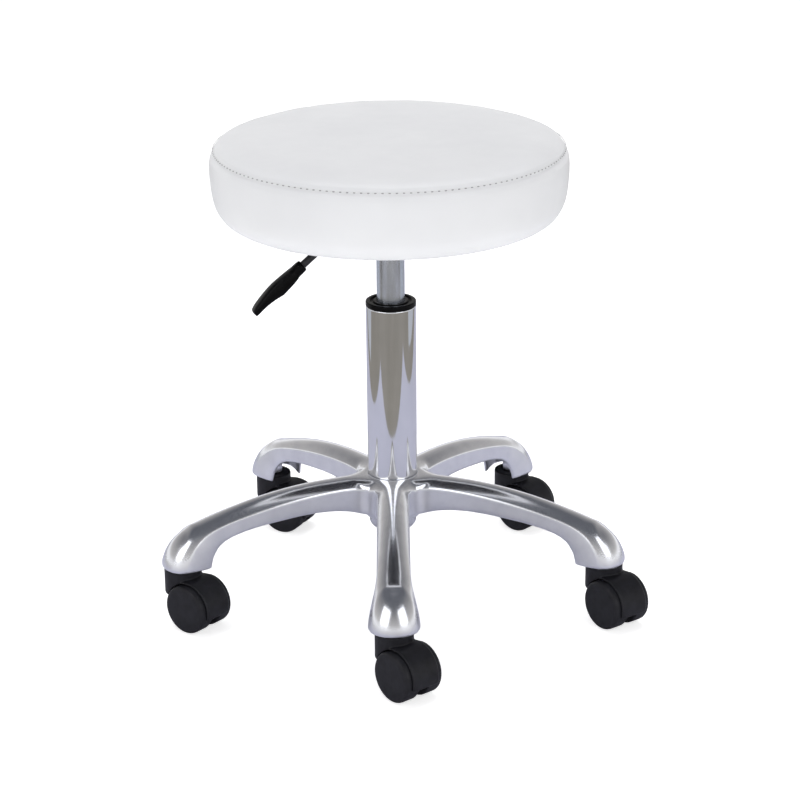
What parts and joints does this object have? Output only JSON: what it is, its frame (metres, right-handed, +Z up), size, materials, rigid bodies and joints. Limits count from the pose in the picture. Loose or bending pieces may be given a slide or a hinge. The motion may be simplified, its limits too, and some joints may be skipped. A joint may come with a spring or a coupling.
{
  "type": "dentist stool",
  "caption": "Round padded stool on a chromed gas lift with a release lever, a star base of cast aluminium legs and hooded twin-wheel casters.",
  "frame": {"origin": "on the floor, on the column's axis, at the point where the stool stands", "axes": "+Z up along the column; one leg points along -Y; the release lever is on the -X side"},
  "size_m": [0.4887, 0.4732, 0.482],
  "materials": {
    "seat_leather": "smooth semi-matt",
    "foam": "open-cell foam",
    "plywood": "raw",
    "lining_cloth": "spun-bonded cloth",
    "cast_aluminium": "polished and brushed",
    "column_chrome": "mirror",
    "satin_steel": "satin zinc",
    "steel": "plain",
    "black_steel": "black powder coat",
    "black_plastic": "satin",
    "caster_nylon": "satin nylon",
    "inner_plastic": "acetal",
    "seal_rubber": "matt"
  },
  "bodies": {
    "base": {"star_base": "cast_aluminium", "column_tube": "column_chrome", "column_cap": "black_plastic", "guide_bush": "inner_plastic", "column_end_plate": "steel", "bearing_lower_race": "steel", "caster_stems": "steel", "grip_rings": "steel"},
    "piston_rod": {"piston_rod": "steel", "piston": "steel", "piston_seal": "seal_rubber", "bump_stop": "seal_rubber", "bearing_upper_race": "steel", "bearing_balls": "steel", "retaining_washer": "steel", "retaining_clip": "steel"},
    "seat": {"seat_cover": "seat_leather", "seat_foam": "foam", "seat_board": "plywood", "seat_lining": "lining_cloth", "staples": "steel", "tee_nuts": "steel", "seat_plate": "black_steel", "taper_socket": "black_steel", "seat_washers": "steel", "seat_bolts": "steel", "gas_cylinder": "satin_steel", "cylinder_gland": "inner_plastic", "rod_seal": "seal_rubber"},
    "lever": {"lever_rod": "black_steel", "lever_grip": "black_plastic", "lever_pivot_pin": "steel"},
    "release_button": {"release_pin": "steel"},
    "caster_1": {"caster_1_hood": "caster_nylon", "caster_1_axle": "steel"},
    "caster_1_wheel_a": {"caster_1_wheel_a": "caster_nylon"},
    "caster_1_wheel_b": {"caster_1_wheel_b": "caster_nylon"},
    "caster_2": {"caster_2_hood": "caster_nylon", "caster_2_axle": "steel"},
    "caster_2_wheel_a": {"caster_2_wheel_a": "caster_nylon"},
    "caster_2_wheel_b": {"caster_2_wheel_b": "caster_nylon"},
    "caster_3": {"caster_3_hood": "caster_nylon", "caster_3_axle": "steel"},
    "caster_3_wheel_a": {"caster_3_wheel_a": "caster_nylon"},
    "caster_3_wheel_b": {"caster_3_wheel_b": "caster_nylon"},
    "caster_4": {"caster_4_hood": "caster_nylon", "caster_4_axle": "steel"},
    "caster_4_wheel_a": {"caster_4_wheel_a": "caster_nylon"},
    "caster_4_wheel_b": {"caster_4_wheel_b": "caster_nylon"},
    "caster_5": {"caster_5_hood": "caster_nylon", "caster_5_axle": "steel"},
    "caster_5_wheel_a": {"caster_5_wheel_a": "caster_nylon"},
    "caster_5_wheel_b": {"caster_5_wheel_b": "caster_nylon"}
  },
  "joints": [
    {"name": "rod_swivel", "type": "hinge", "parent": "base", "child": "piston_rod", "pos_m": [0, 0, 0.087], "axis": [0, 0, 1], "continuous": true},
    {"name": "lift_slide", "type": "slide", "parent": "piston_rod", "child": "seat", "axis": [0, 0, 1], "range_m": [0, 0.13]},
    {"name": "lever_pivot", "type": "hinge", "parent": "seat", "child": "lever", "pos_m": [-0.02898, -0.00777, 0.398], "axis": [-0.2588, 0.9659, 0], "range_deg": [0, 7], "stiffness_Nm_per_rad": 1.5, "springref_deg": -5.73},
    {"name": "release_press", "type": "slide", "parent": "seat", "child": "release_button", "axis": [0, 0, -1], "range_m": [0, 0.004]},
    {"name": "caster_1_swivel", "type": "hinge", "parent": "base", "child": "caster_1", "pos_m": [0, -0.222, 0.05], "axis": [0, 0, 1], "continuous": true},
    {"name": "caster_1_wheel_a_spin", "type": "hinge", "parent": "caster_1", "child": "caster_1_wheel_a", "pos_m": [0.01269, -0.23745, 0.025], "axis": [0.7727, 0.6347, 0], "continuous": true},
    {"name": "caster_1_wheel_b_spin", "type": "hinge", "parent": "caster_1", "child": "caster_1_wheel_b", "pos_m": [0.01269, -0.23745, 0.025], "axis": [0.7727, 0.6347, 0], "continuous": true},
    {"name": "caster_2_swivel", "type": "hinge", "parent": "base", "child": "caster_2", "pos_m": [0.21113, -0.0686, 0.05], "axis": [0, 0, 1], "continuous": true},
    {"name": "caster_2_wheel_a_spin", "type": "hinge", "parent": "caster_2", "child": "caster_2_wheel_a", "pos_m": [0.22298, -0.08472, 0.025], "axis": [0.8059, 0.592, 0], "continuous": true},
    {"name": "caster_2_wheel_b_spin", "type": "hinge", "parent": "caster_2", "child": "caster_2_wheel_b", "pos_m": [0.22298, -0.08472, 0.025], "axis": [0.8059, 0.592, 0], "continuous": true},
    {"name": "caster_3_swivel", "type": "hinge", "parent": "base", "child": "caster_3", "pos_m": [0.13049, 0.1796, 0.05], "axis": [0, 0, 1], "continuous": true},
    {"name": "caster_3_wheel_a_spin", "type": "hinge", "parent": "caster_3", "child": "caster_3_wheel_a", "pos_m": [0.14544, 0.16632, 0.025], "axis": [0.6639, 0.7478, 0], "continuous": true},
    {"name": "caster_3_wheel_b_spin", "type": "hinge", "parent": "caster_3", "child": "caster_3_wheel_b", "pos_m": [0.14544, 0.16632, 0.025], "axis": [0.6639, 0.7478, 0], "continuous": true},
    {"name": "caster_4_swivel", "type": "hinge", "parent": "base", "child": "caster_4", "pos_m": [-0.13049, 0.1796, 0.05], "axis": [0, 0, 1], "continuous": true},
    {"name": "caster_4_wheel_a_spin", "type": "hinge", "parent": "caster_4", "child": "caster_4_wheel_a", "pos_m": [-0.11278, 0.17031, 0.025], "axis": [0.4648, 0.8854, 0], "continuous": true},
    {"name": "caster_4_wheel_b_spin", "type": "hinge", "parent": "caster_4", "child": "caster_4_wheel_b", "pos_m": [-0.11278, 0.17031, 0.025], "axis": [0.4648, 0.8854, 0], "continuous": true},
    {"name": "caster_5_swivel", "type": "hinge", "parent": "base", "child": "caster_5", "pos_m": [-0.21113, -0.0686, 0.05], "axis": [0, 0, 1], "continuous": true},
    {"name": "caster_5_wheel_a_spin", "type": "hinge", "parent": "caster_5", "child": "caster_5_wheel_a", "pos_m": [-0.19564, -0.08124, 0.025], "axis": [0.632, 0.7749, 0], "continuous": true},
    {"name": "caster_5_wheel_b_spin", "type": "hinge", "parent": "caster_5", "child": "caster_5_wheel_b", "pos_m": [-0.19564, -0.08124, 0.025], "axis": [0.632, 0.7749, 0], "continuous": true}
  ],
  "couplings": [
    {"joint": "release_press", "follows": "lever_pivot", "m_per_rad": 0.03}
  ]
}
